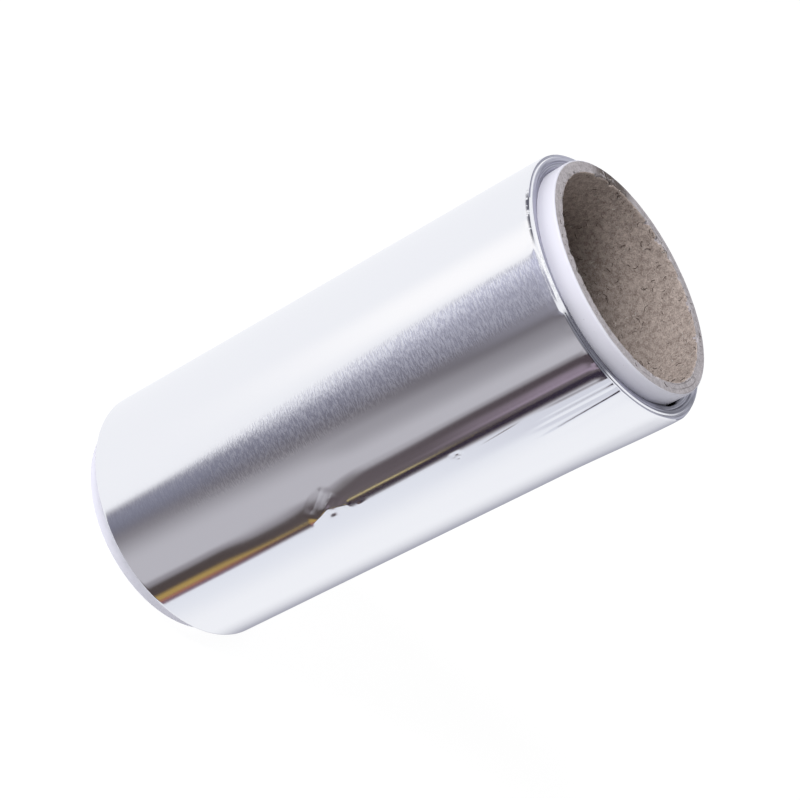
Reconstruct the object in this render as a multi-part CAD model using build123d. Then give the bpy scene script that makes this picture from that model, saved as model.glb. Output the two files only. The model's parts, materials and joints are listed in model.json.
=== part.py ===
from build123d import *
import os

# Roll of aluminium foil wound on a paperboard core, standing on one end of the core.
# The roll's axis is Z, and the origin is the centre of the core's foot on the floor.

# Paperboard core, in millimetres
core_bore = 47.0
core_wall = 3.0
foot_length = 4.8
head_length = 3.5
cut_edge_bevel = 0.3

# Coil of foil: width of the web, thickness wound on the core, and step at the web's free edge
foil_width = 120.0
build_up = 3.55
tail_ledge = 0.2
rim_bevel = 0.2
mouth_bevel = 0.6

# Spiral line on both ends of the coil, where its outer turns stand apart
line_turns = 3
line_width = 0.18
line_depth = 0.5

# Dents pressed into the coil's side
kink_length = 11.0
kink_depth = 0.4
eye_length = 7.0
eye_depth = 0.3

# Fit of the coil on the core, and how far a cutting tool runs past what it cuts
winding_clearance = 0.05
overrun = 1.0

# Places on the coil: shares of the build-up for the spiral line, shares of the web's width above
# its lower edge for the dents, and bearings in degrees about the axis
line_start_share = 0.32
line_end_share = 0.86
kink_height_share = 0.43
eye_height_share = 0.69
kink_bearing = -66.0
eye_bearing = -59.0
tail_bearing = 75.0

# Worked out from the sizes above
bore_radius = core_bore / 2
core_radius = bore_radius + core_wall
core_length = foot_length + foil_width + head_length
hole_radius = core_radius + winding_clearance
coil_radius = hole_radius + build_up
up = (0, 0, 1)
on_floor = (Align.CENTER, Align.CENTER, Align.MIN)


def worn_rims(solid, bevel):
    """The solid with its circular edges taken down a little."""
    return chamfer(solid.edges().filter_by(GeomType.CIRCLE), bevel)


def paperboard_core():
    """One glued tube with an open bore, cut square and slightly worn at both ends."""
    outside = Cylinder(core_radius, core_length, align=on_floor)
    bore = Cylinder(bore_radius, core_length, align=on_floor)
    return worn_rims(outside - bore, min(cut_edge_bevel, core_wall / 3))


def spiral_arcs(start_radius, turns, pitch):
    """Half circles of growing radius about two centres in turn, which join into a spiral."""
    arcs = []
    for half in range(2 * turns):
        side = -1 if half % 2 == 0 else 1
        start_angle = 0 if side < 0 else 180
        radius = start_radius + half * pitch / 2
        arcs.append(CenterArc((side * pitch / 4, 0), radius, start_angle, 180))
    return arcs


def wound_body():
    """Two half turns about two centres, the second one wider, so that a free edge is left."""
    body = Part()
    for side, half in ((-1, Align.MIN), (1, Align.MAX)):
        radius = coil_radius - (2 - side) * tail_ledge / 4
        turn = worn_rims(Cylinder(radius, foil_width, align=on_floor), rim_bevel)
        across = coil_radius + overrun
        keep = Box(2 * across, across, foil_width, align=(Align.CENTER, half, Align.MIN))
        body += (Pos(side * tail_ledge / 4, 0, 0) * turn) & keep
    return body


def mouth():
    """Cutter for the coil's hole, flared at both ends, where the inner turns step back."""
    flare_height = mouth_bevel + overrun
    flare = Cone(hole_radius + flare_height, hole_radius, flare_height, align=on_floor)
    hole = Cylinder(hole_radius, foil_width, align=on_floor) + Pos(0, 0, -overrun) * flare
    return hole + Pos(0, 0, foil_width + overrun) * Rot(180, 0, 0) * flare


def turn_line():
    """Cutter for the spiral line between the turns, as deep as the line and its overrun."""
    start_radius = hole_radius + line_start_share * build_up
    pitch = (line_end_share - line_start_share) * build_up / line_turns
    inner = spiral_arcs(start_radius - line_width / 2, line_turns, pitch)
    outer = spiral_arcs(start_radius + line_width / 2, line_turns, pitch)
    ends = [Line(inner[0] @ 0, outer[0] @ 0), Line(inner[-1] @ 1, outer[-1] @ 1)]
    return extrude(make_face([*inner, *outer, *ends]), line_depth + overrun, dir=up)


def side_radius(bearing):
    """Radius of the coil's side at a bearing, which shrinks away from the free edge."""
    share_of_turn = (bearing - tail_bearing) % 360 / 360
    return coil_radius - tail_ledge * (1 - share_of_turn)


def dent(length, depth, height_share, bearing):
    """Ball that presses a shallow dent of this length and depth into the coil's side."""
    ball_radius = ((length / 2) ** 2 + depth ** 2) / (2 * depth)
    reach = side_radius(bearing) - depth + ball_radius
    height = height_share * foil_width
    return Rot(0, 0, bearing) * Pos(reach, 0, height) * Sphere(ball_radius)


def wound_foil():
    """All turns of the foil as one solid, with its lower end on the floor."""
    coil = wound_body() - mouth()
    line = turn_line()
    coil -= Pos(0, 0, foil_width - line_depth) * line
    coil -= Pos(0, 0, -overrun) * line
    coil = Rot(0, 0, tail_bearing) * coil
    coil -= dent(kink_length, kink_depth, kink_height_share, kink_bearing)
    coil -= dent(eye_length, eye_depth, eye_height_share, eye_bearing)
    return coil


os.makedirs("parts", exist_ok=True)
export_step(paperboard_core(), "parts/core_tube.step")
export_step(Pos(0, 0, foot_length) * wound_foil(), "parts/foil_roll.step")
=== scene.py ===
import json
import math
import bpy
from mathutils import Matrix, Vector

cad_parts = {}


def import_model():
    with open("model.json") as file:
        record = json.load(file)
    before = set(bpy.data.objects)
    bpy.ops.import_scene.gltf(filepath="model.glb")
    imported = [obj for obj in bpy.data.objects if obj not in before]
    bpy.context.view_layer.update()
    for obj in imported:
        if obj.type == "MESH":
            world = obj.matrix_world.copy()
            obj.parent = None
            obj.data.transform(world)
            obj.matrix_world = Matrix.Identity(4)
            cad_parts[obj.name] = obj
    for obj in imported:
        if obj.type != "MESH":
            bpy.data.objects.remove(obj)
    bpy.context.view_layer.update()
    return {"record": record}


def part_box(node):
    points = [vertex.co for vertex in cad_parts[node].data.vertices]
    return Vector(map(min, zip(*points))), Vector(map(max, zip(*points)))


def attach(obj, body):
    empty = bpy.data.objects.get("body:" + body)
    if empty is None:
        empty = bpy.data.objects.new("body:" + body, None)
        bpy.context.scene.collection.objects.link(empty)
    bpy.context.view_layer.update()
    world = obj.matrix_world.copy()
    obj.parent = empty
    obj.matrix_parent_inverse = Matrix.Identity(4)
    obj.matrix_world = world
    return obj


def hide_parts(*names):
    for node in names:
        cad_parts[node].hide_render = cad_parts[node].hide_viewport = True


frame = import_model()

# Lengths are in metres and angles in degrees. The roll stands on its core, with its axis on Z.
mm = 0.001
coilLow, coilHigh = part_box("foil_roll")
coreLow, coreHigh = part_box("core_tube")
coreBore = next(mount for mount in frame["record"]["mounts"] if mount["name"] == "core_bore")

roll = {
    "coilRadius": (coilHigh.x - coilLow.x + coilHigh.y - coilLow.y) / 4,
    "coilFoot": coilLow.z,
    "coilHead": coilHigh.z,
    "coreRadius": coreHigh.x,
    "boreRadius": coreBore["dims"]["r_mm"] * mm,
    "coreFoot": coreLow.z,
    "coreHead": coreHigh.z,
    "middle": 60 * mm,  # height above which a detail counts as the head's
}


# Node trees

def feed(tree, node, inputs):
    # links the sockets among these values to the node's inputs, and sets the others
    for socket, value in dict(inputs).items():
        if isinstance(value, bpy.types.NodeSocket):
            tree.links.new(value, node.inputs[socket])
        else:
            node.inputs[socket].default_value = value


def addNode(tree, kind, inputs=(), **settings):
    node = tree.nodes.new(kind)
    for name, value in settings.items():
        setattr(node, name, value)
    feed(tree, node, inputs)
    return node


def calc(tree, operation, *values):
    return addNode(tree, "ShaderNodeMath", dict(enumerate(values)), operation=operation).outputs[0]


def product(tree, *values):
    total = values[0]
    for value in values[1:]:
        total = calc(tree, "MULTIPLY", total, value)
    return total


def apart(tree, value, middle):
    # how far value lies from middle, on either side
    return calc(tree, "ABSOLUTE", calc(tree, "SUBTRACT", value, middle))


def inDegrees(tree, angle):
    return calc(tree, "MULTIPLY", angle, 180 / math.pi)


def vectorCalc(tree, operation, *values):
    return addNode(tree, "ShaderNodeVectorMath", dict(enumerate(values)), operation=operation).outputs


def combine(tree, x=0.0, y=0.0, z=0.0):
    return addNode(tree, "ShaderNodeCombineXYZ", {"X": x, "Y": y, "Z": z}).outputs[0]


def between(tree, value, low, high, outLow=0.0, outHigh=1.0, smooth=True):
    # value's way from low to high, as a clamped ramp from outLow to outHigh
    inputs = {"Value": value, "From Min": low, "From Max": high, "To Min": outLow, "To Max": outHigh}
    shape = "SMOOTHSTEP" if smooth else "LINEAR"
    return addNode(tree, "ShaderNodeMapRange", inputs, interpolation_type=shape).outputs[0]


def nearing(tree, value, rim, start, full):
    # grows from 0 at start short of the rim to 1 at full short of it
    return between(tree, value, rim - start, rim - full)


def inHeadHalf(tree, height):
    return between(tree, height, roll["middle"], roll["middle"] + 1 * mm)


def polar(tree, position):
    # radius and bearing about the roll's axis, height along it, and the direction outwards
    x, y, height = addNode(tree, "ShaderNodeSeparateXYZ", {0: position}).outputs
    flat = combine(tree, x, y)
    radius = vectorCalc(tree, "LENGTH", flat)["Value"]
    return radius, calc(tree, "ARCTAN2", y, x), height, vectorCalc(tree, "NORMALIZE", flat)[0]


def scaled(tree, vector, scale):
    inputs = {0: vector, "Scale": scale}
    return addNode(tree, "ShaderNodeVectorMath", inputs, operation="SCALE").outputs[0]


def stretched(tree, vector, across, along):
    # coordinates for a pattern drawn out round the roll: across sets its length, along its width
    return vectorCalc(tree, "MULTIPLY", vector, (1 / across, 1 / across, 1 / along))[0]


def noise(tree, vector, scale, detail=2.0, roughness=0.5, offset=0.0):
    moved = vectorCalc(tree, "ADD", vector, (offset, offset, offset))[0]
    inputs = {"Vector": moved, "Scale": scale, "Detail": detail, "Roughness": roughness}
    return addNode(tree, "ShaderNodeTexNoise", inputs).outputs[0]


def addObject(name, data):
    thing = bpy.data.objects.new(name, data)
    bpy.context.scene.collection.objects.link(thing)
    return thing


def newGroup(name, inputs):
    # a geometry tree with these named inputs, what it is given, and its result
    tree = bpy.data.node_groups.new(name, "GeometryNodeTree")
    tree.interface.new_socket("Section", in_out="INPUT", socket_type="NodeSocketGeometry")
    tree.interface.new_socket("Result", in_out="OUTPUT", socket_type="NodeSocketGeometry")
    for label, value in inputs.items():
        kind = "NodeSocketInt" if isinstance(value, int) else "NodeSocketFloat"
        tree.interface.new_socket(label, in_out="INPUT", socket_type=kind)
    return tree, tree.nodes.new("NodeGroupInput").outputs, tree.nodes.new("NodeGroupOutput").inputs


def runGroup(section, tree, inputs, name):
    # sets the tree's inputs on the section and keeps the result as a plain mesh
    modifier = section.modifiers.new("shape", "NODES")
    modifier.node_group = tree
    for item in tree.interface.items_tree:
        if item.in_out == "INPUT" and item.name in inputs:
            modifier[item.identifier] = inputs[item.name]
    graph = bpy.context.evaluated_depsgraph_get()
    mesh = bpy.data.meshes.new_from_object(section.evaluated_get(graph))
    section.modifiers.remove(modifier)
    bpy.data.objects.remove(section)
    mesh.name = name
    mesh.shade_smooth()
    return addObject(name, mesh)


def spunSection(tree, path, section):
    inputs = {"Curve": path, "Profile Curve": section}
    return addNode(tree, "GeometryNodeCurveToMesh", inputs).outputs[0]


def setMaterial(tree, geometry, material, selection=True):
    inputs = {"Geometry": geometry, "Selection": selection, "Material": material}
    return addNode(tree, "GeometryNodeSetMaterial", inputs).outputs[0]


def displaced(tree, geometry, outward, push, lift):
    # the geometry with its points pushed outwards and lifted
    offset = vectorCalc(tree, "ADD", scaled(tree, outward, push), combine(tree, z=lift))[0]
    return addNode(tree, "GeometryNodeSetPosition", {"Geometry": geometry, "Offset": offset}).outputs[0]


def realized(tree, geometry):
    return addNode(tree, "GeometryNodeRealizeInstances", {0: geometry}).outputs[0]


def drawSection(name, points):
    # closed outline of radius and height, which the trees spin about the axis
    curve = bpy.data.curves.new(name, "CURVE")
    spline = curve.splines.new("POLY")
    spline.points.add(len(points) - 1)
    for point, (radius, height) in zip(spline.points, points):
        point.co = (radius, -height, 0, 1)
    spline.use_cyclic_u = True
    return addObject(name, curve)


def steps(start, end, size):
    # evenly spaced values from start up to, but not at, end
    count = max(1, round(abs(end - start) / size))
    return [start + (end - start) * i / count for i in range(count)]


roundedBy = [math.radians(angle) for angle in (0, 30, 60, 90)]  # points of a rounded edge


# Materials

def newMaterial(name):
    material = bpy.data.materials.new(name)
    material.use_nodes = True
    tree = material.node_tree
    shader = tree.nodes["Principled BSDF"]
    place = tree.nodes.new("ShaderNodeTexCoord").outputs["Object"]
    return material, tree, shader, place


def mixColor(tree, share, first, second):
    sides = [side if isinstance(side, bpy.types.NodeSocket) else (*side, 1) for side in (first, second)]
    inputs = {0: share, 6: sides[0], 7: sides[1]}
    return addNode(tree, "ShaderNodeMix", inputs, data_type="RGBA").outputs[2]


def bump(tree, height, distance):
    inputs = {"Height": height, "Distance": distance, "Strength": 1}
    return addNode(tree, "ShaderNodeBump", inputs).outputs[0]


foilFinish = {
    "color": (0.90, 0.90, 0.92),
    "lineSheenTones": ((0.79, 0.79, 0.82), (0.99, 0.99, 0.995)),  # painted sheen: tones between the brush lines and in them, lighter in the lines as if they scatter light
    "polished": 0.09,  # roughness between the brush lines
    "brushed": 0.30,  # and in them
    "drawnOut": 0.6,  # how far the lines draw out what the foil mirrors
    "quarterTurn": 0.25,  # so that they draw it out across them
    "lineLevels": (0.40, 0.60),  # levels of the noise between which a line fades in
    "toneLevels": (0.42, 0.60),  # and of its painted sheen
    "wornLevels": (0.1, 0.5),  # shares of the lines between which their painted sheen fades in
    "lineDepth": 0.03 * mm,
    "lineLength": 1.2 * mm,
    "lineWidth": 0.30 * mm,
    "share": 0.05,  # how much the lines show where nothing has rubbed the roll
    # rubbed patches, where the lines show in relief and with painted sheen: bearing at the foot and at
    # the head, half width, and how much the lines show
    "rubbed": ((-98.5, -105, 13.5, 0.5), (62, 62, 40, 0.15)),
    "rubbedFull": 0.45,  # share of the half width that is full
    # heights between which the patches grow, and their share at the first
    "rubbedFrom": (12 * mm, 62 * mm, 0.3),
    # crumpled foil at the head's rim, painted dark as shade: bearing, half width where it is full and
    # where it ends
    "crumpled": (-132, 8, 15),
    # painted shade colour of the crumpled turns and of the rim line
    "crumpledShadeColor": (0.12, 0.12, 0.15),
    "crumpledTurns": (0.55 * mm, 0.4 * mm),  # how far in from the side it starts, and is full
    "crumpledDepth": (1.25 * mm, 0.7 * mm),  # how far down from the rim it starts, and is full
    "veins": (850, 0.37, 0.47),  # scale and levels of the noise
    # painted shade line along the rim: bearing, half width where it is full and where it ends, share
    "rimLine": (-75, 12, 17, 0.9),
    "rimLineDepth": (0.75 * mm, 0.45 * mm),
}


def rimShade(tree, place, radius, bearing, height):
    # painted shade where the outermost turns are crumpled at the head, and a painted shade line along its
    # rim
    f = foilFinish
    middle, full, half = f["crumpled"]
    patch = between(tree, apart(tree, bearing, middle), full, half, 1, 0)
    outermost = nearing(tree, radius, roll["coilRadius"], *f["crumpledTurns"])
    atRim = nearing(tree, height, roll["coilHead"], *f["crumpledDepth"])
    scale, low, high = f["veins"]
    veins = between(tree, noise(tree, place, scale, roughness=0.6, offset=4.0), low, high)
    crumpled = product(tree, atRim, outermost, patch, veins)
    middle, full, half, share = f["rimLine"]
    patch = between(tree, apart(tree, bearing, middle), full, half, share, 0)
    line = product(tree, nearing(tree, height, roll["coilHead"], *f["rimLineDepth"]), patch)
    return calc(tree, "MAXIMUM", crumpled, line)


def rolledFoil():
    # the shiny side of the foil, with fine brush lines round the roll, painted sheen in their tone where
    # rubbed, and painted shade at the head's rim
    material, tree, shader, place = newMaterial("rolledFoil")
    f = foilFinish
    x, y, height = addNode(tree, "ShaderNodeSeparateXYZ", {0: place}).outputs
    around = combine(tree, calc(tree, "MULTIPLY", y, -1), x)
    radius = vectorCalc(tree, "LENGTH", around)["Value"]
    bearing = inDegrees(tree, calc(tree, "ARCTAN2", y, x))
    lines = noise(tree, stretched(tree, place, f["lineLength"], f["lineWidth"]), 1.0, roughness=0.6)
    share = f["share"]
    growth = between(tree, height, *f["rubbedFrom"], 1)
    for atFoot, atHead, half, shown in f["rubbed"]:
        middle = between(tree, height, roll["coilFoot"], roll["coilHead"], atFoot, atHead)
        patch = between(tree, apart(tree, bearing, middle), half * f["rubbedFull"], half, shown, 0)
        share = calc(tree, "MULTIPLY_ADD", patch, growth, share)
    # share of rubbed lines, which gives both their real relief and their painted sheen
    worn = between(tree, share, *f["wornLevels"])
    drawn = product(tree, between(tree, lines, *f["lineLevels"]), share)
    lineSheen = mixColor(tree, between(tree, lines, *f["toneLevels"]), *f["lineSheenTones"])
    color = mixColor(tree, worn, f["color"], lineSheen)
    shade = rimShade(tree, place, radius, bearing, height)
    feed(tree, shader, {
        # the base colour darkened by the painted shade at the head's rim
        "Base Color": mixColor(tree, shade, color, f["crumpledShadeColor"]),
        "Metallic": 1,
        "Roughness": between(tree, drawn, 0, 1, f["polished"], f["brushed"], smooth=False),
        "Anisotropic": f["drawnOut"],
        "Anisotropic Rotation": f["quarterTurn"],
        "Tangent": around,
        "Normal": bump(tree, product(tree, lines, worn), f["lineDepth"]),
    })
    return material


edgeFinish = {
    "color": (0.50, 0.50, 0.58),
    "gap": (0.24, 0.24, 0.30),
    # colour of the painted dark reflections on the head's end
    "shaded": (0.09, 0.09, 0.11),
    "deep": (0.01, 0.01, 0.012),  # painted shadow down in the gap by the core
    "deepFrom": (0.58 * mm, 1.0 * mm),  # how far under the head's rim that starts, and is full
    "roughness": 0.38,
    "linePitch": 0.30 * mm,
    "lineHeight": 0.03 * mm,
    "lineLevels": (0.36, 0.60),  # levels of the noise from a gap to a turn
    "wander": 60,  # how fast the lines change along their way round
    # parts of the head's end painted darker as dark reflections: bearing, half width, share
    "darkReflections": ((-75, 24, 0.92), (-4, 26, 0.6)),
    "darkReflectionFull": 0.6,  # share of the half width that is full
    "streaks": (0.66, 0.52, 0.45),  # levels of the lines that they spare, and how much at the first
    "brightRim": 0.35 * mm,  # which they leave out
}


def foilEdges():
    # the ends of the coil, where thousands of turns lie edge to edge
    material, tree, shader, place = newMaterial("foilEdges")
    f = edgeFinish
    radius, bearing, height, _ = polar(tree, place)
    rings = combine(tree, calc(tree, "DIVIDE", radius, f["linePitch"]))
    wandering = vectorCalc(tree, "ADD", rings, scaled(tree, place, f["wander"]))[0]
    lines = noise(tree, wandering, 1.0, detail=3)
    color = mixColor(tree, between(tree, lines, *f["lineLevels"]), f["gap"], f["color"])
    inside = between(tree, radius, roll["coilRadius"], roll["coilRadius"] - f["brightRim"])
    streak = between(tree, lines, *f["streaks"], 1)
    # painted reflection: the head's end darkened where it mirrors dark walls, sparing some lines and the
    # bright rim
    for middle, half, share in f["darkReflections"]:
        away = apart(tree, inDegrees(tree, bearing), middle)
        patch = between(tree, away, half * f["darkReflectionFull"], half, share, 0)
        patch = product(tree, patch, inside, streak)
        color = mixColor(tree, patch, color, f["shaded"])
    # painted shadow in the recess and the gap by the core at the head
    gapShadow = nearing(tree, height, roll["coilHead"], *f["deepFrom"])
    gapShadow = product(tree, gapShadow, inHeadHalf(tree, height))
    feed(tree, shader, {
        "Base Color": mixColor(tree, gapShadow, color, f["deep"]),
        "Metallic": 1,
        "Roughness": f["roughness"],
        "Normal": bump(tree, lines, f["lineHeight"]),
    })
    return material


paperFinish = {
    "color": (0.73, 0.725, 0.81),
    "speck": (0.26, 0.24, 0.27),
    "speckLevels": (0.78, 0.81),  # levels of the noise between which a speck fades in
    "roughness": 0.55,
    "gloss": 0.35,
    "fibreSize": 0.5 * mm,
    "bumpHeight": 0.02 * mm,
}


def whitePly():
    material, tree, shader, place = newMaterial("whitePly")
    f = paperFinish
    fibres = noise(tree, place, 1 / f["fibreSize"], detail=4)
    specks = noise(tree, place, 0.8 / f["fibreSize"], detail=1, offset=7.0)
    feed(tree, shader, {
        "Base Color": mixColor(tree, between(tree, specks, *f["speckLevels"]), f["color"], f["speck"]),
        "Roughness": f["roughness"],
        "Specular IOR Level": f["gloss"],
        "Normal": bump(tree, fibres, f["bumpHeight"]),
    })
    return material


boardFinish = {
    "bore": ((0.275, 0.22, 0.197), (0.655, 0.56, 0.515)),
    "shade": (26 * mm, 5 * mm, 0.47),  # painted shade down the bore: how far down it is darkest, where it is not, share of the tone left
    "cut": ((0.42, 0.39, 0.41), (0.66, 0.62, 0.65)),
    "speck": (0.07, 0.05, 0.045),
    "roughness": 0.95,
    "gloss": 0.2,
    "mottleSize": 1.1 * mm,
    "grainSize": 0.24 * mm,
    "grainShare": 0.65,  # what the grain adds to the tone, and the mottle the rest
    "toneLevels": (0.34, 0.66),
    "bumpHeight": 0.09 * mm,
    "plyPitch": 0.55 * mm,
    "plyWander": 0.5 * mm,
    "plyLine": 0.15 * mm,
    "plyDepth": 0.6,  # how much darker the glue lines between the plies are
    "plyBreaks": (110, 0.40, 0.58),  # where they are broken: scale and levels of the noise
    "stained": (0.11, 0.088, 0.077),
    "stain": (142, 22, 0.9),  # dark torn place on the head's end: bearing, half width, share
    "stainFull": 0.3,  # share of the half width that is full
    "stainLevels": (0.28, 0.46),  # levels of the mottle between which it fades in
    # specks and fibres: colour, scale, detail and offset of the noise, its levels, share
    "flecks": (((0.07, 0.05, 0.045), 0.5, 2, 11.0, 0.68, 0.74, 0.85),
               ((0.74, 0.70, 0.66), 0.7, 3, 23.0, 0.68, 0.76, 0.6)),
}


def cutEdge(tree, base, place, mottle):
    # the board's cut end: glue lines between its plies, and the torn place
    f = boardFinish
    radius, bearing, height, _ = polar(tree, place)
    wander = calc(tree, "MULTIPLY", noise(tree, place, 300), f["plyWander"])
    boardRadius = roll["coreRadius"] - core["tree"]["Ply"]
    inwards = calc(tree, "SUBTRACT", boardRadius, calc(tree, "ADD", radius, wander))
    ply = calc(tree, "PINGPONG", calc(tree, "ADD", inwards, f["plyWander"] / 2), f["plyPitch"])
    scale, low, high = f["plyBreaks"]
    broken = between(tree, noise(tree, place, scale, offset=2.0), low, high)
    line = product(tree, between(tree, ply, 0, f["plyLine"], f["plyDepth"], 0), broken)
    middle, half, share = f["stain"]
    away = apart(tree, inDegrees(tree, bearing), middle)
    stain = product(tree, between(tree, away, half * f["stainFull"], half, share, 0),
                    inHeadHalf(tree, height), between(tree, mottle, *f["stainLevels"]))
    return mixColor(tree, stain, mixColor(tree, line, base, f["speck"]), f["stained"])


def pulpBoard(name, tones, isCut):
    # grey-brown recycled board with dark specks and pale fibres
    material, tree, shader, place = newMaterial(name)
    f = boardFinish
    mottle = noise(tree, place, 1 / f["mottleSize"], detail=3)
    pattern = stretched(tree, place, f["grainSize"] * 1.5, f["grainSize"])
    grain = noise(tree, pattern, 1.0, detail=4, roughness=0.7, offset=3.0)
    tone = calc(tree, "MULTIPLY", grain, f["grainShare"])
    tone = calc(tree, "MULTIPLY_ADD", mottle, 1 - f["grainShare"], tone)
    color = mixColor(tree, between(tree, tone, *f["toneLevels"]), *tones)
    if isCut:
        color = cutEdge(tree, color, place, mottle)
    for fleck, scale, detail, offset, low, high, share in f["flecks"]:
        flecks = noise(tree, place, scale / f["grainSize"], detail, offset=offset)
        color = mixColor(tree, between(tree, flecks, low, high, 0, share), color, fleck)
    # painted shade: the bore's tone darkens with depth
    if not isCut:
        deep, shallow, left = f["shade"]
        height = polar(tree, place)[2]
        inside = between(tree, height, roll["coreHead"] - deep, roll["coreHead"] - shallow, left, 1)
        color = scaled(tree, color, inside)
    feed(tree, shader, {
        "Base Color": color,
        "Roughness": f["roughness"],
        "Specular IOR Level": f["gloss"],
        "Normal": bump(tree, grain, f["bumpHeight"]),
    })
    return material


# Coil of foil

coil = {
    "faceStep": 0.11 * mm,
    "rimRadius": 0.35 * mm,
    "holeRadius": roll["coreRadius"] + 0.06 * mm,
    # rows up the side, closest together where the creases are: height in mm, and the step above it
    "rows": ((4.8, 0.3), (6.3, 1.7), (48, 0.27), (62.5, 1.0), (84.5, 0.25), (90, 0.6), (104, 0.55)),
    # level of the end faces, from the hole outwards: distance from the hole and level, in mm
    "faceLevels": ((0.0, -0.7), (0.5, -0.45), (1.4, -0.38), (1.55, -0.02), (2.45, -0.02), (2.6, -0.3),
                   (3.5, -0.18)),
    "sideFrom": (0.6 * mm, 0.1 * mm),  # how far in from the side its shape starts, and is full
    "unevenSize": (14 * mm, 30 * mm),  # round the coil and along it
    # crinkles of the head's rim: scale, depth where they are full and where they end
    "crinkles": (700, 0.2 * mm, 2.2 * mm),
    # where they are strong: bearing, half width where that is full and where it ends, share left
    "crinkled": (-131, 8, 22, 0.1),
    "headFace": (3 * mm, 4 * mm),  # how far under the head its fold and gap are full, and end
    "foldTaper": (0.4, 0.04),  # radians over which the fold grows at its start, and ends
    "foldSlope": (0.4 * mm, 3.4 * mm),  # how far under the head the fold is full, and ends
    "foldedEnough": 0.3,  # share of the fold from which it has the side's finish
    # the gap by the core: shares of its angle where it is full, and where loose turns are full
    # and end
    "gapShares": (0.4, 0.5, 2.2),
    "gapEdge": 0.15 * mm,
    "crumples": 500,
    "levelEnough": 0.75,  # how upright the direction of a face is that has the ends' finish
    "endsFrom": 1 * mm,  # how far in from the side everything has it
    "tree": {
        "Sides": 380,
        "Gather": 0.85,
        "Gather Bearing": math.radians(-60),
        "Radius": roll["coilRadius"],
        "Foot": roll["coilFoot"],
        "Head": roll["coilHead"],
        "Tail Bearing": math.radians(75),
        "Tail Ledge": 0.2 * mm,
        "Turn Pitch": 0.38 * mm,
        "Turn Height": 0.05 * mm,
        "Unevenness": 0.04 * mm,
        "Crinkle": 0.72 * mm,
        # how far the side's rims curl in, over what height, and how much of it the foot has
        "Curl": 0.1 * mm,
        "Head Curl": 2.5 * mm,
        "Foot Curl": 1.0 * mm,
        "Foot Share": 0.15,
        # outermost turns folded back at the head, from one bearing to the other
        "Fold Start": math.radians(-150),
        "Fold End": math.radians(-91.5),
        "Fold Width": 0.95 * mm,
        "Fold Drop": 0.7 * mm,
        # gap where the innermost turns have come away from the core
        "Gap Bearing": math.radians(-7),
        "Gap Angle": math.radians(6.2),
        "Gap Width": 0.48 * mm,
        "Gap Depth": 2.6 * mm,
        "Crumple": 0.25 * mm,
    },
}

# Dents and creases in the side: height in mm, bearing, slant from the axis, half length, and the
# share of it that stays full, half width, lean of the bottom line to one side, depth (a ridge where
# it is negative) and how round the sides are; lengths in mm. A facet also has how hollow its sides
# are and how far its two ends lean
coilCreases = {
    "handFlat": (128, -102, 0, 66, 0.15, 8.5, 0, 0.28, 1.0),
    "slackRidge": (101, -77.5, 0, 46, 0.7, 5.4, 0, -0.19, 1.0),
    "slackHollow": (41, -72.5, 0, 15, 0.2, 5.2, 0, 0.11, 1.0),
    "looseEnd": (126, -6, 0, 30, 0.2, 9, 0, -0.4, 1.0),
    "kinkFold": (52.9, -65.13, -17.6, 3.8, 0.35, 3.05, 0.31, -0.095, 0, 1.6, 0.5),
    "kinkFoldEnd": (57.3, -64.4, 15, 3.8, 0.1, 2.55, 0.18, -0.08, 0, 1.6, 0),
    "kinkLobe": (54.3, -69.6, -34, 4.8, 0.5, 1.9, -0.1, 0.07, 0),
    "kinkFlap": (55.8, -66.4, -34, 3.6, 0.4, 1.3, 0, -0.03, 0),
    "kinkSpot": (55.4, -61.7, 0, 1.3, 0, 0.9, 0, 0.019, 1.0),
    "kinkSlash": (59.6, -61.4, 76, 1.4, 0.2, 0.4, -0.3, -0.035, 0.3),
    "kinkBlob": (62.3, -59.8, 0, 1.0, 0.2, 0.8, 0, -0.024, 0.8),
    "eye": (87.2, -60.0, 0, 1.9, 0.3, 1.0, 0.2, 0.02, 1.0),
    "eyeSpot": (87.4, -60.3, 0, 0.6, 0.2, 0.4, 0.2, 0.016, 0.7),
    "eyeCorner": (87.1, -58.2, 0, 0.6, 0.2, 0.4, 0.2, 0.022, 0.7),
    "eyeLine": (97.3, -58.7, -4, 7.5, 0.3, 0.5, -0.3, -0.011, 0.3),
    "middleWrinkle": (121, -56.6, -1, 19, 0.5, 0.6, 0, 0.045, 0.4),
    "softWrinkle": (117, -53.8, -1, 15, 0.4, 0.8, 0, 0.062, 0.4),
    "upperWrinkle": (118, -59.4, 0, 13, 0.3, 0.7, 0, -0.012, 0.5),
    "lowerWrinkle": (123, -49.9, -4, 21, 0.62, 1.2, -0.6, -0.108, 0.2),
}


def levelAt(distance):
    # level of the coil's end face at this distance from its hole, by straight steps
    levels = [(at * mm, level * mm) for at, level in coil["faceLevels"]]
    for (start, low), (end, high) in zip(levels, levels[1:]):
        if distance <= end:
            return low + (high - low) * (distance - start) / (end - start)
    return levels[-1][1]


def sideRows(low, high):
    # heights of the side's rows from the head down, without the two at its ends
    rows = []
    stops = [(max(at * mm, low), step * mm) for at, step in coil["rows"]] + [(high, 0)]
    for (start, step), (end, _) in zip(stops, stops[1:]):
        rows += steps(start, end, step)
    return rows[:0:-1]


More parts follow.
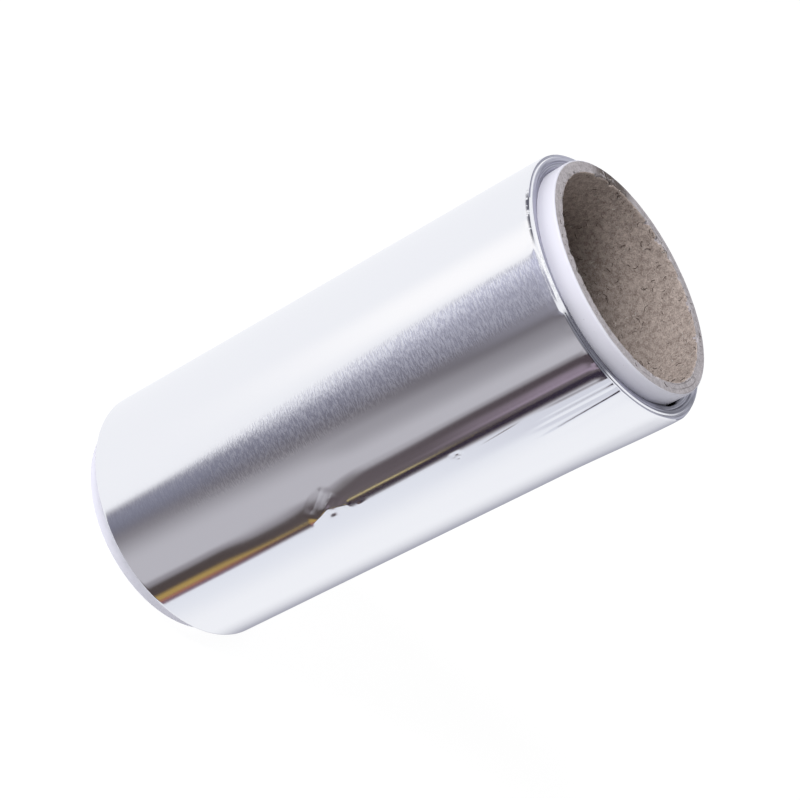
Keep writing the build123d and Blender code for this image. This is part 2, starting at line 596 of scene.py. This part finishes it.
def coilSection():
    inner, outer, rim = coil["holeRadius"], roll["coilRadius"], coil["rimRadius"]
    foot, head = roll["coilFoot"], roll["coilHead"]
    faceEnd = outer - rim
    rimDrop = levelAt(faceEnd - inner)
    face = [(r, levelAt(r - inner)) for r in steps(inner, faceEnd, coil["faceStep"])]
    corner = [(faceEnd + rim * math.sin(t), rimDrop - rim + rim * math.cos(t)) for t in roundedBy]
    top = [(r, head + level) for r, level in face + corner]
    bottom = [(r, foot - level) for r, level in reversed(face + corner)]
    side = [(outer, z) for z in sideRows(bottom[0][1], top[-1][1])]
    hole = [(inner, z) for z in steps(bottom[-1][1], top[0][1], (head - foot) / 6)[1:]]
    return [(r - outer, z) for r, z in top + side + bottom + hole]


def creaseShape(tree, bearing, height, radius, crease):
    # one pressed line: a tent across it, sharp or rounded, that fades out along it
    atHeight, atBearing, slant, halfLength, full, halfWidth, lean, depth, roundness, *facet = crease
    hollow, skew = facet or (1, 0)
    turn = calc(tree, "SUBTRACT", bearing, math.radians(atBearing))
    around = calc(tree, "MULTIPLY", turn, radius)
    up = calc(tree, "SUBTRACT", height, atHeight * mm)
    cosine, sine = math.cos(math.radians(slant)), math.sin(math.radians(slant))
    along = calc(tree, "MULTIPLY_ADD", up, cosine, calc(tree, "MULTIPLY", around, sine))
    across = calc(tree, "MULTIPLY_ADD", around, cosine, calc(tree, "MULTIPLY", up, -sine))
    skewed = calc(tree, "ABSOLUTE", calc(tree, "MULTIPLY_ADD", across, skew, along))
    fade = between(tree, skewed, halfLength * mm * full, halfLength * mm, 1, 0, full > 0)
    width, bottom = halfWidth * mm, halfWidth * mm * lean
    tent, dome = (calc(tree, "MINIMUM", between(tree, across, -width, bottom, 0, 1, smooth),
                       between(tree, across, bottom, width, 1, 0, smooth)) for smooth in (False, True))
    sharp = calc(tree, "MULTIPLY", calc(tree, "POWER", tent, hollow), 1 - roundness)
    shape = calc(tree, "MULTIPLY_ADD", dome, roundness, sharp)
    return product(tree, shape, fade, -depth * mm)


def gatheredRing(tree, given, bearing):
    # the coil's ring of points, drawn together round the bearing of the creases
    inputs = {"Resolution": given["Sides"], "Radius": given["Radius"]}
    ring = addNode(tree, "GeometryNodeCurvePrimitiveCircle", inputs).outputs[0]
    turn = calc(tree, "SUBTRACT", bearing, given["Gather Bearing"])
    pulled = calc(tree, "MULTIPLY", calc(tree, "SINE", turn), given["Gather"])
    spread = calc(tree, "SUBTRACT", bearing, pulled)
    circle = combine(tree, calc(tree, "COSINE", spread), calc(tree, "SINE", spread))
    inputs = {"Geometry": ring, "Position": scaled(tree, circle, given["Radius"])}
    return addNode(tree, "GeometryNodeSetPosition", inputs).outputs[0]


def sidePush(tree, given, place, bearing, height):
    # the side: one turn that ends in the free edge, soft unevenness, creases, crinkled and curled rims
    toHead = calc(tree, "SUBTRACT", given["Head"], height)
    toFoot = calc(tree, "SUBTRACT", height, given["Foot"])
    sinceTail = calc(tree, "DIVIDE", calc(tree, "SUBTRACT", bearing, given["Tail Bearing"]), math.tau)
    turned = calc(tree, "SUBTRACT", calc(tree, "FRACT", sinceTail), 0.5)
    push = calc(tree, "MULTIPLY", turned, given["Tail Ledge"])
    uneven = noise(tree, stretched(tree, place, *coil["unevenSize"]), 1.0, detail=1)
    push = calc(tree, "MULTIPLY_ADD", calc(tree, "SUBTRACT", uneven, 0.5), given["Unevenness"], push)
    for crease in coilCreases.values():
        push = calc(tree, "ADD", push, creaseShape(tree, bearing, height, given["Radius"], crease))
    scale, full, end = coil["crinkles"]
    nearHead = between(tree, toHead, full, end, 1, 0)
    middle, full, end, left = coil["crinkled"]
    away = apart(tree, bearing, math.radians(middle))
    strong = between(tree, away, math.radians(full), math.radians(end), 1, left)
    crinkles = calc(tree, "SUBTRACT", noise(tree, place, scale, detail=1), 0.5)
    push = calc(tree, "MULTIPLY_ADD", product(tree, crinkles, nearHead, strong), given["Crinkle"], push)
    headCurl = between(tree, toHead, 0, given["Head Curl"], 1, 0)
    footCurl = between(tree, toFoot, 0, given["Foot Curl"], 1, 0)
    curl = calc(tree, "MULTIPLY_ADD", footCurl, given["Foot Share"], headCurl)
    return calc(tree, "SUBTRACT", push, calc(tree, "MULTIPLY", curl, given["Curl"]))


def foldBack(tree, given, radius, bearing, toHead):
    # where the outermost turns are folded back at the head, and how far down they go there
    start, end = given["Fold Start"], given["Fold End"]
    growth, decline = coil["foldTaper"]
    folded = product(tree, between(tree, bearing, start, calc(tree, "ADD", start, growth)),
                     between(tree, bearing, end, calc(tree, "ADD", end, decline), 1, 0))
    foldIn = calc(tree, "SUBTRACT", given["Radius"], given["Fold Width"])
    slope = product(tree, between(tree, radius, foldIn, given["Radius"], 0, 1, smooth=False),
                    between(tree, toHead, *coil["foldSlope"], 1, 0, smooth=False))
    return folded, foldIn, product(tree, slope, folded, given["Fold Drop"])


def coreGap(tree, given, place, radius, bearing):
    # the gap by the core, and the crumpled turns beside it
    away = apart(tree, bearing, given["Gap Bearing"])
    angles = [calc(tree, "MULTIPLY", given["Gap Angle"], share) for share in coil["gapShares"]]
    full, looseFull, looseEnd = angles
    opened = between(tree, away, full, given["Gap Angle"], 1, 0)
    gapOut = calc(tree, "ADD", coil["holeRadius"], given["Gap Width"])
    gapIn = calc(tree, "SUBTRACT", gapOut, coil["gapEdge"])
    inGap = between(tree, radius, gapIn, gapOut, 1, 0, smooth=False)
    loose = between(tree, away, looseFull, looseEnd, 1, 0)
    crumple = product(tree, noise(tree, place, coil["crumples"]), loose, given["Crumple"])
    return calc(tree, "ADD", product(tree, opened, inGap, given["Gap Depth"]), crumple)


def coilTree(side, ends):
    tree, given, result = newGroup("coilShape", coil["tree"])
    place = tree.nodes.new("GeometryNodeInputPosition").outputs[0]
    radius, bearing, height, outward = polar(tree, place)
    spun = spunSection(tree, gatheredRing(tree, given, bearing), given["Section"])
    onSide = nearing(tree, radius, roll["coilRadius"], *coil["sideFrom"])
    push = product(tree, sidePush(tree, given, place, bearing, height), onSide)

    # the ends: a spiral of fine ridges, one for each bundle of turns, and the head's fold and gap
    pitches = calc(tree, "DIVIDE", radius, given["Turn Pitch"])
    wound = calc(tree, "MULTIPLY_ADD", bearing, 1 / math.tau, pitches)
    ridge = apart(tree, calc(tree, "FRACT", wound), 0.5)
    rise = product(tree, ridge, given["Turn Height"], calc(tree, "SUBTRACT", 1, onSide))
    atHead = calc(tree, "GREATER_THAN", height, roll["middle"])
    toHead = calc(tree, "SUBTRACT", given["Head"], height)
    folded, foldIn, fold = foldBack(tree, given, radius, bearing, toHead)
    sunk = calc(tree, "ADD", fold, coreGap(tree, given, place, radius, bearing))
    down = product(tree, sunk, atHead, between(tree, toHead, *coil["headFace"], 1, 0))
    inwards = calc(tree, "MULTIPLY_ADD", atHead, -2, 1)  # up at the foot, down at the head
    lift = product(tree, rise, inwards, calc(tree, "SUBTRACT", 1, folded))
    bent = displaced(tree, spun, outward, push, calc(tree, "SUBTRACT", lift, down))

    # the ends' finish: on what faces up or down or lies inside, but not on the folded turns
    facing = addNode(tree, "GeometryNodeInputNormal").outputs[0]
    flatness = addNode(tree, "ShaderNodeSeparateXYZ", {0: facing}).outputs["Z"]
    isLevel = calc(tree, "GREATER_THAN", calc(tree, "ABSOLUTE", flatness), coil["levelEnough"])
    isInside = calc(tree, "LESS_THAN", radius, roll["coilRadius"] - coil["endsFrom"])
    lip = product(tree, calc(tree, "GREATER_THAN", folded, coil["foldedEnough"]),
                  calc(tree, "GREATER_THAN", radius, foldIn), atHead)
    isEnd = calc(tree, "SUBTRACT", calc(tree, "MAXIMUM", isLevel, isInside), lip)
    sided = setMaterial(tree, realized(tree, bent), side)
    tree.links.new(setMaterial(tree, sided, ends, isEnd), result[0])
    return tree


def makeCoil():
    tree = coilTree(rolledFoil(), foilEdges())
    piece = runGroup(drawSection("coilSection", coilSection()), tree, coil["tree"], "foilCoil")
    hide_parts("foil_roll")
    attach(piece, "root")
    print("coil", len(piece.data.polygons), "faces")


# Paperboard core

core = {
    "edgeRadius": 0.3 * mm,
    "endStep": 0.12 * mm,  # between rings on the cut ends
    "rimStep": 0.45 * mm,  # between rings near the ends
    "longStep": 6 * mm,  # and further in
    "headRim": 5 * mm,  # how far down the outside the short steps go at the head
    "footRim": 6 * mm,  # and up at the foot
    "boreRim": 8 * mm,  # and down the bore
    "fuzz": 2200,
    "waves": 420,
    # how far in from the outside the board starts to be rough, and is full, and its share at the first
    "bareFrom": (0.1 * mm, 0.5 * mm, 0.1),
    "roughShare": 0.25,  # of what the roughness lifts at the head, pushed outwards everywhere
    "tornHeight": 1.2 * mm,
    "bites": (520, 0.52, 0.68),  # scale and levels of the noise
    "biteDepth": 0.9 * mm,
    "biteDrop": 0.8,  # how far a bite goes down, as a share of how far it goes outwards
    "boreSkin": 0.25 * mm,  # how far out from the bore its finish reaches
    "tree": {
        "Sides": 600,
        "Radius": roll["coreRadius"],
        "Bore": roll["boreRadius"],
        "Foot": roll["coreFoot"],
        "Head": roll["coreHead"],
        "Tear": 0.65 * mm,
        "Roughness": 0.18 * mm,
        "Ply": 0.28 * mm,
    },
}


def coreSection():
    inner, outer, edge = roll["boreRadius"], roll["coreRadius"], core["edgeRadius"]
    foot, head = roll["coreFoot"], roll["coreHead"]
    lip = [(inner + edge - edge * math.cos(t), -edge + edge * math.sin(t)) for t in roundedBy]
    ring = [(r, 0) for r in steps(inner + edge, outer - edge, core["endStep"])[1:]]
    brow = [(outer - edge + edge * math.sin(t), -edge + edge * math.cos(t)) for t in roundedBy]
    end = lip + ring + brow
    top = [(r, head + level) for r, level in end]
    bottom = [(r, foot - level) for r, level in reversed(end)]
    short, long = core["rimStep"], core["longStep"]
    wallTop, wallFoot, boreTop = head - core["headRim"], foot + core["footRim"], head - core["boreRim"]
    wall = steps(head - edge, wallTop, short)[1:] + steps(wallTop, wallFoot, long)
    wall += steps(wallFoot, foot + edge, short)
    bore = steps(foot + edge, boreTop, long)[1:] + steps(boreTop, head - edge, short)
    points = top + [(outer, z) for z in wall] + bottom + [(inner, z) for z in bore]
    return [(r - outer, z) for r, z in points]


def coreTree(paper, cut, bore):
    tree, given, result = newGroup("coreShape", core["tree"])
    inputs = {"Resolution": given["Sides"], "Radius": given["Radius"]}
    ring = addNode(tree, "GeometryNodeCurvePrimitiveCircle", inputs).outputs[0]
    spun = spunSection(tree, ring, given["Section"])
    place = tree.nodes.new("GeometryNodeInputPosition").outputs[0]
    radius, _, height, outward = polar(tree, place)
    toHead = calc(tree, "SUBTRACT", given["Head"], height)
    nearHead = between(tree, toHead, 0, core["tornHeight"], 1, 0)
    # rough board, smooth where the white ply covers it
    fuzz = calc(tree, "SUBTRACT", noise(tree, place, core["fuzz"], detail=3, roughness=0.65), 0.5)
    waves = calc(tree, "SUBTRACT", noise(tree, place, core["waves"], offset=5.0), 0.5)
    start, full, least = core["bareFrom"]
    bare = between(tree, radius, roll["coreRadius"] - start, roll["coreRadius"] - full, least, 1)
    rough = product(tree, calc(tree, "ADD", fuzz, waves), given["Roughness"], bare)
    # torn inner lip: bites out of the bore's edge at the head
    scale, low, high = core["bites"]
    bites = between(tree, noise(tree, place, scale, detail=3, roughness=0.6, offset=9.0), low, high)
    lipEnd = calc(tree, "ADD", given["Bore"], core["biteDepth"])
    onLip = product(tree, between(tree, radius, lipEnd, given["Bore"], 0, 1), nearHead)
    tear = product(tree, bites, onLip, given["Tear"])
    push = calc(tree, "MULTIPLY_ADD", rough, core["roughShare"], tear)
    drop = calc(tree, "MULTIPLY", tear, core["biteDrop"])
    lift = calc(tree, "SUBTRACT", product(tree, rough, nearHead), drop)
    worn = displaced(tree, spun, outward, push, lift)
    isPaper = calc(tree, "GREATER_THAN", radius, calc(tree, "SUBTRACT", given["Radius"], given["Ply"]))
    inBore = calc(tree, "LESS_THAN", radius, calc(tree, "ADD", given["Bore"], core["boreSkin"]))
    boarded = setMaterial(tree, realized(tree, worn), cut)
    lined = setMaterial(tree, boarded, bore, inBore)
    tree.links.new(setMaterial(tree, lined, paper, isPaper), result[0])
    return tree


def makeCore():
    cut = pulpBoard("cutBoard", boardFinish["cut"], True)
    tree = coreTree(whitePly(), cut, pulpBoard("boreBoard", boardFinish["bore"], False))
    piece = runGroup(drawSection("coreSection", coreSection()), tree, core["tree"], "coreTube")
    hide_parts("core_tube")
    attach(piece, "root")
    print("core", len(piece.data.polygons), "faces")
    return piece


# Torn fibres on the core's end and in its bore

fibres = {
    "roughness": 0.9,
    "lean": 0.25,
    "size": (0.35, 0.35),  # smallest size, and how much it grows with the sweep in radians
    # colour, how many to a square metre of board, shortest and longest sweep, seed
    "dark": ((0.09, 0.065, 0.055), 150000, 40, 150, 3),
    "pale": ((0.78, 0.74, 0.70), 110000, 30, 120, 8),
    "tree": {
        "Thickness": 0.06 * mm,
        "Bend": 0.7 * mm,
        "Head": roll["coreHead"],
        "Deepest": 45 * mm,
        "Widest": roll["coreRadius"] - 1.2 * mm,
        "Density": 1.0,
    },
}


def fibreMaterial(name, color):
    material, tree, shader, place = newMaterial(name)
    darker = tuple(part * 0.6 for part in color)
    share = between(tree, noise(tree, place, 2500), 0.35, 0.65)
    tone = mixColor(tree, share, darker, color)
    feed(tree, shader, {"Base Color": tone, "Roughness": fibres["roughness"]})
    return material


def randomValue(tree, low, high, seed):
    inputs = {2: low, 3: high, "Seed": seed}
    return addNode(tree, "FunctionNodeRandomValue", inputs, data_type="FLOAT").outputs[1]


def fibreStrand(tree, given, sweep):
    arc = addNode(tree, "GeometryNodeCurveArc", {
        "Resolution": 5, "Radius": given["Bend"], "Sweep Angle": math.radians(sweep)}).outputs[0]
    section = addNode(tree, "GeometryNodeCurvePrimitiveCircle", {
        "Resolution": 3, "Radius": given["Thickness"]}).outputs[0]
    return addNode(tree, "GeometryNodeCurveToMesh", {
        "Curve": arc, "Profile Curve": section, "Fill Caps": True}).outputs[0]


def strewnFibres(tree, given, within, name):
    color, density, shortest, longest, seed = fibres[name]
    spots = addNode(tree, "GeometryNodeDistributePointsOnFaces", {
        "Mesh": given["Section"], "Selection": within, "Seed": seed,
        "Density": calc(tree, "MULTIPLY", given["Density"], density)}).outputs
    sweep = randomValue(tree, math.radians(shortest), math.radians(longest), seed)
    spin = randomValue(tree, 0.0, math.tau, seed + 1)
    lean = randomValue(tree, -fibres["lean"], fibres["lean"], seed + 2)
    turn = addNode(tree, "FunctionNodeRotateRotation", {
        "Rotation": spots["Rotation"], "Rotate By": combine(tree, lean, 0.0, spin)},
        rotation_space="LOCAL").outputs[0]
    smallest, growth = fibres["size"]
    size = calc(tree, "MULTIPLY_ADD", sweep, growth, smallest)
    placed = addNode(tree, "GeometryNodeInstanceOnPoints", {
        "Points": spots["Points"], "Instance": fibreStrand(tree, given, (shortest + longest) / 2),
        "Rotation": turn, "Scale": combine(tree, size, size, 1.0)}).outputs[0]
    return setMaterial(tree, realized(tree, placed), fibreMaterial(name + "Fibre", color))


def makeFibres(coreTube):
    tree, given, result = newGroup("fibreScatter", fibres["tree"])
    place = tree.nodes.new("GeometryNodeInputPosition").outputs[0]
    radius, _, height, _ = polar(tree, place)
    toHead = calc(tree, "SUBTRACT", given["Head"], height)
    within = product(tree, calc(tree, "LESS_THAN", radius, given["Widest"]),
                     calc(tree, "LESS_THAN", toHead, given["Deepest"]))
    joined = addNode(tree, "GeometryNodeJoinGeometry")
    for name in ("dark", "pale"):
        tree.links.new(strewnFibres(tree, given, within, name), joined.inputs[0])
    tree.links.new(joined.outputs[0], result[0])
    piece = runGroup(addObject("fibreBase", coreTube.data.copy()), tree, fibres["tree"], "coreFibres")
    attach(piece, "root")
    print("fibres", len(piece.data.polygons), "faces")


# Camera

camera = {
    "aimHeight": 67.7 * mm,
    "distance": 469.6 * mm,
    "elevation": 28.56,
    "roll": 61.94,
    "lens": 97.83,
    "sensor": 36.0,
}


def makeCamera():
    data = bpy.data.cameras.new("camera")
    data.lens, data.sensor_width = camera["lens"], camera["sensor"]
    data.clip_start, data.clip_end = 0.01, 20
    view = addObject("camera", data)
    elevation = math.radians(camera["elevation"])
    aim = Vector((0, 0, camera["aimHeight"]))
    back = Vector((0, -math.cos(elevation), math.sin(elevation)))
    tilt = Matrix.Rotation(math.pi / 2 - elevation, 4, "X")
    turn = tilt @ Matrix.Rotation(math.radians(camera["roll"]), 4, "Z")
    view.matrix_world = Matrix.Translation(aim + back * camera["distance"]) @ turn
    bpy.context.scene.camera = view
    print("camera")


# Studio: the room that the foil mirrors, and the light on the paper and the floor

studio = {
    "fill": 0.32,
    # power, size, place
    "key": (6.0, 0.4, (-0.54, -0.50, 0.62)),
    "front": (1.7, 0.5, (0.38, -0.80, 0.12)),
    "floorSize": 4.0,
    "floorDrop": 0.05 * mm,
    "floorTone": 0.8,
    "floorBounce": 0.40,  # its glow on the roll
    "floorGlow": 0.92,  # its glow to the camera
    "shadowTone": 0.2,  # how strongly shadows show on it there
}

# What the foil mirrors: colours, and for the plain upright stripes the bearings where they start,
# are full, begin to fade and have gone
mirrored = {
    "paleWall": ((0.95, 0.962, 0.995),),
    "paleNear": ((0.818, 0.842, 0.906), -60, -30, -26, 12),
    "greyShine": ((0.70, 0.715, 0.79), -32, -28, -20, -9),
    "dimWall": ((0.40, 0.405, 0.47),),
    "window": ((1.075, 1.07, 1.075), -178, -158, -153, -136),
    "greyWall": ((0.515, 0.505, 0.545),),
    "darkWall": ((0.165, 0.155, 0.175),),
    "haze": ((0.68, 0.695, 0.85),),
    "hazeFoot": ((0.155, 0.158, 0.205),),
    "shade": ((0.29, 0.275, 0.30), -54.5, -50.5, -44, -42),
    "shelfFar": ((0.078, 0.062, 0.06), -50, -45.5, -29.3, -26.5),
    "shelf": ((0.125, 0.105, 0.115), -48.5, -44.1, -29.6, -27.2),
    "shelfTop": ((0.075, 0.058, 0.068), -46.5, -44.5, -42.2, -40.6),
    "shelfLilac": ((0.36, 0.29, 0.37), -41.4, -39.8, -38.6, -37.2),
    "shelfFoot": ((0.03, 0.022, 0.04), -35.4, -34.2, -30.6, -29.4),
    "goldEdge": ((0.46, 0.315, 0.10),),
    "redEdge": ((0.38, 0.16, 0.11), -33.2, -31.8, -30.6, -29.4),
    "plumEdge": ((0.20, 0.11, 0.15), -30.6, -29.4, -28, -26.4),
    "goldLine": ((0.85, 0.72, 0.34), -36.9, -36.2, -35.7, -35.0),
}


def mirroredRoom(tree):
    # Colour by bearing and rise in degrees. Rays from the coil's foot fall about 36 degrees and those
    # from its head about 24, so the two ends mirror different heights of a wall.
    direction = addNode(tree, "ShaderNodeTexCoord").outputs["Generated"]
    x, y, z = addNode(tree, "ShaderNodeSeparateXYZ", {0: direction}).outputs
    bearing = inDegrees(tree, calc(tree, "ARCTAN2", y, x))
    rise = inDegrees(tree, calc(tree, "ARCSINE", z))

    def higher(start, full, outLow=0.0, outHigh=1.0):
        return between(tree, rise, start, full, outLow, outHigh)

    def lower(full, end):
        return between(tree, rise, full, end, 1, 0)

    def before(full, end, value=bearing):
        return between(tree, value, full, end, 1, 0)

    def span(start, full, last, end, value=bearing):
        # 1 from full to last, 0 before start and after end
        return product(tree, between(tree, value, start, full), before(last, end, value))

    def paint(below, name, *masks):
        return mixColor(tree, product(tree, *masks), below, mirrored[name][0])

    def stripe(below, name, *masks, at=bearing):
        return paint(below, name, span(*mirrored[name][1:], at), *masks)

    low = lower(4, 26)
    headward = higher(-33, -23)
    climb = between(tree, rise, -36, -24, smooth=False)

    # pale walls, the dim one on the far side, and the window
    room = stripe(mirrored["paleWall"][0], "paleNear")
    room = stripe(room, "greyShine", higher(-28.5, -26))
    dimLast, dimEnd = calc(tree, "MULTIPLY_ADD", climb, 10, 74), calc(tree, "MULTIPLY_ADD", climb, 6, 94)
    room = paint(room, "dimWall", span(30, 76, dimLast, dimEnd), low)
    room = stripe(room, "window", higher(-34.5, -25.5))

    # the grey wall, whose edge leans, with its dark part and the haze along the edge
    wallEdge = calc(tree, "MULTIPLY_ADD", headward, -13.9, higher(-35.5, -33.8, -119.4, -121))
    inWall = between(tree, calc(tree, "SUBTRACT", bearing, wallEdge), -7.8, 4.2)
    room = paint(room, "greyWall", inWall, before(-30, -28.5), low)
    further = calc(tree, "MULTIPLY_ADD", headward, -7, bearing)
    further = calc(tree, "ADD", further, higher(-35, -31.5, 2.8, 0))
    room = paint(room, "darkWall", inWall, before(-106, -70, further), low)
    room = paint(room, "hazeFoot", inWall, before(-112, -98), lower(-33, -27), low)
    steepness = calc(tree, "MINIMUM", higher(-32.3, -31, 1.2, 5), higher(-31.2, -24.2, 5, 0.9))
    hazeFade = calc(tree, "POWER", between(tree, bearing, wallEdge, -96.0, 1, 0, smooth=False), steepness)
    room = paint(room, "haze", inWall, hazeFade, calc(tree, "MULTIPLY_ADD", climb, 0.88, 0.16), low)

    # the shelf, which tilts, and its coloured edges
    near = higher(-31.8, -30.8)
    far = calc(tree, "SUBTRACT", 1, near)
    tilted = calc(tree, "MULTIPLY_ADD", higher(-31, -27), 2.5, bearing)
    shifted = calc(tree, "MULTIPLY_ADD", higher(-34.4, -33.2), 1.3, bearing)
    room = stripe(room, "shade", calc(tree, "MAXIMUM", far, headward), low)
    room = stripe(room, "shelfFar", far, low, at=shifted)
    room = stripe(room, "shelf", near, low, at=tilted)
    room = stripe(room, "shelfTop", headward, at=tilted)
    room = stripe(room, "shelfLilac", higher(-29, -25), at=tilted)
    room = stripe(room, "shelfFoot", near, low, at=tilted)
    goldStart = calc(tree, "MULTIPLY_ADD", higher(-35, -32), -4.6, bearing)
    gold = product(tree, between(tree, goldStart, -39.5, -35.2), before(-33.2, -31.8))
    room = paint(room, "goldEdge", gold, span(-44, -39, -32.4, -31.8, rise))
    room = stripe(room, "redEdge", lower(-34.6, -33.4), higher(-44, -39))
    room = stripe(room, "plumEdge", lower(-34, -33), higher(-44, -39))
    return stripe(room, "goldLine", span(-31.6, -31.3, -29.6, -28.1, rise))


def makeWorld():
    # mirror rays see the room, other rays a soft even light, and the camera plain white
    world = bpy.data.worlds.new("studio")
    bpy.context.scene.world = world
    world.use_nodes = True
    tree = world.node_tree
    tree.nodes.clear()
    white = (1, 1, 1, 1)
    room, soft, plain = (
        addNode(tree, "ShaderNodeBackground", {"Color": color, "Strength": strength}).outputs[0]
        for color, strength in ((mirroredRoom(tree), 1.0), (white, studio["fill"]), (white, 1.0)))
    ray = addNode(tree, "ShaderNodeLightPath").outputs
    lit = addNode(tree, "ShaderNodeMixShader", {0: ray["Is Glossy Ray"], 1: soft, 2: room}).outputs[0]
    seen = calc(tree, "MAXIMUM", ray["Is Camera Ray"], ray["Is Transmission Ray"])
    shown = addNode(tree, "ShaderNodeMixShader", {0: seen, 1: lit, 2: plain}).outputs[0]
    addNode(tree, "ShaderNodeOutputWorld", {"Surface": shown})
    print("world")


def makeFloor():
    half, tone, shadow = studio["floorSize"] / 2, studio["floorTone"], studio["shadowTone"]
    mesh = bpy.data.meshes.new("floor")
    corners = [(-half, -half, 0), (half, -half, 0), (half, half, 0), (-half, half, 0)]
    mesh.from_pydata(corners, [], [(0, 1, 2, 3)])
    floor = addObject("floor", mesh)
    floor.location.z = -studio["floorDrop"]
    floor.visible_glossy = False
    material, tree, shader, _ = newMaterial("paleFloor")
    feed(tree, shader, {"Base Color": (tone, tone, tone, 1), "Roughness": 1, "Specular IOR Level": 0})
    bounce, glow = (addNode(tree, "ShaderNodeEmission", {"Strength": studio[name]}).outputs[0]
                    for name in ("floorBounce", "floorGlow"))
    thin = addNode(tree, "ShaderNodeBsdfDiffuse", {"Color": (shadow, shadow, shadow, 1)}).outputs[0]
    lit = addNode(tree, "ShaderNodeAddShader", {0: shader.outputs[0], 1: bounce}).outputs[0]
    white = addNode(tree, "ShaderNodeAddShader", {0: glow, 1: thin}).outputs[0]
    ray = addNode(tree, "ShaderNodeLightPath").outputs
    shown = addNode(tree, "ShaderNodeMixShader", {0: ray["Is Camera Ray"], 1: lit, 2: white}).outputs[0]
    feed(tree, tree.nodes["Material Output"], {"Surface": shown})
    mesh.materials.append(material)
    print("floor")


def makeLamp(name):
    power, size, place = studio[name]
    light = bpy.data.lights.new(name, "AREA")
    light.energy, light.size = power, size
    lamp = addObject(name, light)
    lamp.visible_glossy = False
    place = Vector(place)
    aim = Vector((0, 0, camera["aimHeight"]))
    turn = (place - aim).to_track_quat("Z", "Y").to_matrix().to_4x4()
    lamp.matrix_world = Matrix.Translation(place) @ turn
    print(name, "light")


makeCamera()
makeCoil()
makeFibres(makeCore())
makeWorld()
makeFloor()
makeLamp("key")
makeLamp("front")
bpy.context.scene.view_settings.view_transform = "Standard"
